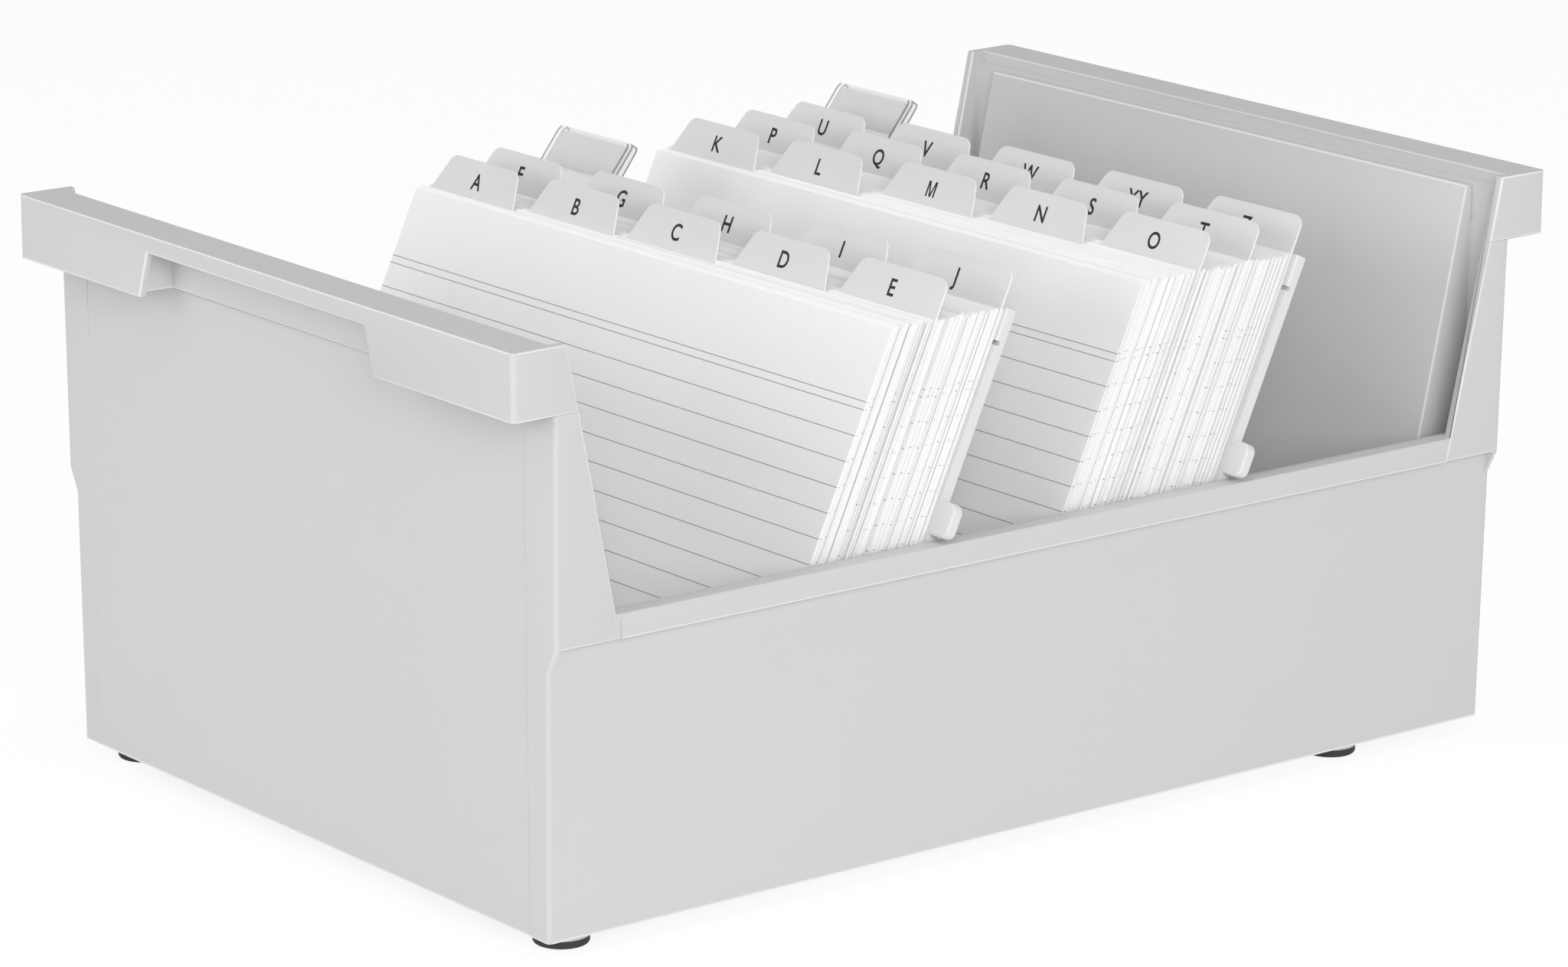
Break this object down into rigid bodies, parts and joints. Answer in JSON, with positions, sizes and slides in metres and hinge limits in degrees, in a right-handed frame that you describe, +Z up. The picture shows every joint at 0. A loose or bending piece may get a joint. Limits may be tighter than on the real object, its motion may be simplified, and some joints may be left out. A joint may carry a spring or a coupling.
{
  "type": "index card drawer",
  "caption": "Open moulded card drawer with finger lips, filled with ruled cards behind lettered tab guides that lean on sliding support plates with clear label riders.",
  "frame": {"origin": "middle of the drawer's footprint, on the surface that its feet stand on", "axes": "+Z up, +X to the drawer's right seen from its near end, -Y towards the near end that the letters face"},
  "size_m": [0.226, 0.3488, 0.159],
  "materials": {
    "tray": "fine satin moulding",
    "foot": "matt",
    "card": "uncoated",
    "guide": "satin sheet",
    "plate": "satin moulding",
    "rider": "clear",
    "label": "uncoated"
  },
  "bodies": {
    "tray": {"tray": "tray", "rubber_feet": "foot"},
    "front_lead_cards": {"cards_front_lead": "card"},
    "section_a": {"guide_a": "guide", "cards_a": "card"},
    "section_b": {"guide_b": "guide", "cards_b": "card"},
    "section_c": {"guide_c": "guide", "cards_c": "card"},
    "section_d": {"guide_d": "guide", "cards_d": "card"},
    "section_e": {"guide_e": "guide", "cards_e": "card"},
    "section_f": {"guide_f": "guide", "cards_f": "card"},
    "section_g": {"guide_g": "guide", "cards_g": "card"},
    "section_h": {"guide_h": "guide", "cards_h": "card"},
    "section_i": {"guide_i": "guide", "cards_i": "card"},
    "section_j": {"guide_j": "guide", "cards_j": "card"},
    "front_plate": {"front_support_plate": "plate"},
    "front_rider": {"front_label_rider": "rider"},
    "front_label": {"front_label": "label"},
    "rear_lead_cards": {"cards_rear_lead": "card"},
    "section_k": {"guide_k": "guide", "cards_k": "card"},
    "section_l": {"guide_l": "guide", "cards_l": "card"},
    "section_m": {"guide_m": "guide", "cards_m": "card"},
    "section_n": {"guide_n": "guide", "cards_n": "card"},
    "section_o": {"guide_o": "guide", "cards_o": "card"},
    "section_p": {"guide_p": "guide", "cards_p": "card"},
    "section_q": {"guide_q": "guide", "cards_q": "card"},
    "section_r": {"guide_r": "guide", "cards_r": "card"},
    "section_s": {"guide_s": "guide", "cards_s": "card"},
    "section_t": {"guide_t": "guide", "cards_t": "card"},
    "section_u": {"guide_u": "guide", "cards_u": "card"},
    "section_v": {"guide_v": "guide", "cards_v": "card"},
    "section_w": {"guide_w": "guide", "cards_w": "card"},
    "section_xy": {"guide_xy": "guide", "cards_xy": "card"},
    "section_z": {"guide_z": "guide", "cards_z": "card"},
    "rear_plate": {"rear_support_plate": "plate"},
    "rear_rider": {"rear_label_rider": "rider"},
    "rear_label": {"rear_label": "label"}
  },
  "joints": [
    {"name": "section_a_lift", "type": "slide", "parent": "tray", "child": "section_a", "axis": [0, 0.4147, 0.91], "range_m": [0, 0.16]},
    {"name": "section_b_lift", "type": "slide", "parent": "tray", "child": "section_b", "axis": [0, 0.4147, 0.91], "range_m": [0, 0.16]},
    {"name": "section_c_lift", "type": "slide", "parent": "tray", "child": "section_c", "axis": [0, 0.4147, 0.91], "range_m": [0, 0.16]},
    {"name": "section_d_lift", "type": "slide", "parent": "tray", "child": "section_d", "axis": [0, 0.4147, 0.91], "range_m": [0, 0.16]},
    {"name": "section_e_lift", "type": "slide", "parent": "tray", "child": "section_e", "axis": [0, 0.4147, 0.91], "range_m": [0, 0.16]},
    {"name": "section_f_lift", "type": "slide", "parent": "tray", "child": "section_f", "axis": [0, 0.4147, 0.91], "range_m": [0, 0.16]},
    {"name": "section_g_lift", "type": "slide", "parent": "tray", "child": "section_g", "axis": [0, 0.4147, 0.91], "range_m": [0, 0.16]},
    {"name": "section_h_lift", "type": "slide", "parent": "tray", "child": "section_h", "axis": [0, 0.4147, 0.91], "range_m": [0, 0.16]},
    {"name": "section_i_lift", "type": "slide", "parent": "tray", "child": "section_i", "axis": [0, 0.4147, 0.91], "range_m": [0, 0.16]},
    {"name": "section_j_lift", "type": "slide", "parent": "tray", "child": "section_j", "axis": [0, 0.4147, 0.91], "range_m": [0, 0.16]},
    {"name": "section_k_lift", "type": "slide", "parent": "tray", "child": "section_k", "axis": [0, 0.4147, 0.91], "range_m": [0, 0.16]},
    {"name": "section_l_lift", "type": "slide", "parent": "tray", "child": "section_l", "axis": [0, 0.4147, 0.91], "range_m": [0, 0.16]},
    {"name": "section_m_lift", "type": "slide", "parent": "tray", "child": "section_m", "axis": [0, 0.4147, 0.91], "range_m": [0, 0.16]},
    {"name": "section_n_lift", "type": "slide", "parent": "tray", "child": "section_n", "axis": [0, 0.4147, 0.91], "range_m": [0, 0.16]},
    {"name": "section_o_lift", "type": "slide", "parent": "tray", "child": "section_o", "axis": [0, 0.4147, 0.91], "range_m": [0, 0.16]},
    {"name": "section_p_lift", "type": "slide", "parent": "tray", "child": "section_p", "axis": [0, 0.4147, 0.91], "range_m": [0, 0.16]},
    {"name": "section_q_lift", "type": "slide", "parent": "tray", "child": "section_q", "axis": [0, 0.4147, 0.91], "range_m": [0, 0.16]},
    {"name": "section_r_lift", "type": "slide", "parent": "tray", "child": "section_r", "axis": [0, 0.4147, 0.91], "range_m": [0, 0.16]},
    {"name": "section_s_lift", "type": "slide", "parent": "tray", "child": "section_s", "axis": [0, 0.4147, 0.91], "range_m": [0, 0.16]},
    {"name": "section_t_lift", "type": "slide", "parent": "tray", "child": "section_t", "axis": [0, 0.4147, 0.91], "range_m": [0, 0.16]},
    {"name": "section_u_lift", "type": "slide", "parent": "tray", "child": "section_u", "axis": [0, 0.4147, 0.91], "range_m": [0, 0.16]},
    {"name": "section_v_lift", "type": "slide", "parent": "tray", "child": "section_v", "axis": [0, 0.4147, 0.91], "range_m": [0, 0.16]},
    {"name": "section_w_lift", "type": "slide", "parent": "tray", "child": "section_w", "axis": [0, 0.4147, 0.91], "range_m": [0, 0.16]},
    {"name": "section_xy_lift", "type": "slide", "parent": "tray", "child": "section_xy", "axis": [0, 0.4147, 0.91], "range_m": [0, 0.16]},
    {"name": "section_z_lift", "type": "slide", "parent": "tray", "child": "section_z", "axis": [0, 0.4147, 0.91], "range_m": [0, 0.16]},
    {"name": "front_lead_tip", "type": "hinge", "parent": "tray", "child": "front_lead_cards", "pos_m": [0, -0.1111, 0.01061], "axis": [1, 0, 0], "range_deg": [0, 36]},
    {"name": "rear_lead_lift", "type": "slide", "parent": "tray", "child": "rear_lead_cards", "axis": [0, 0.4147, 0.91], "range_m": [0, 0.16]},
    {"name": "front_plate_slide", "type": "slide", "parent": "tray", "child": "front_plate", "axis": [0, 1, 0], "range_m": [0, 0.038]},
    {"name": "rear_plate_slide", "type": "slide", "parent": "tray", "child": "rear_plate", "axis": [0, 1, 0], "range_m": [0, 0.045]},
    {"name": "front_rider_slide", "type": "slide", "parent": "front_plate", "child": "front_rider", "axis": [1, 0, 0], "range_m": [0, 0.168]},
    {"name": "front_label_slide", "type": "slide", "parent": "front_rider", "child": "front_label", "axis": [-1, 0, 0], "range_m": [0, 0.034]},
    {"name": "rear_rider_slide", "type": "slide", "parent": "rear_plate", "child": "rear_rider", "axis": [1, 0, 0], "range_m": [0, 0.168]},
    {"name": "rear_label_slide", "type": "slide", "parent": "rear_rider", "child": "rear_label", "axis": [-1, 0, 0], "range_m": [0, 0.034]}
  ]
}
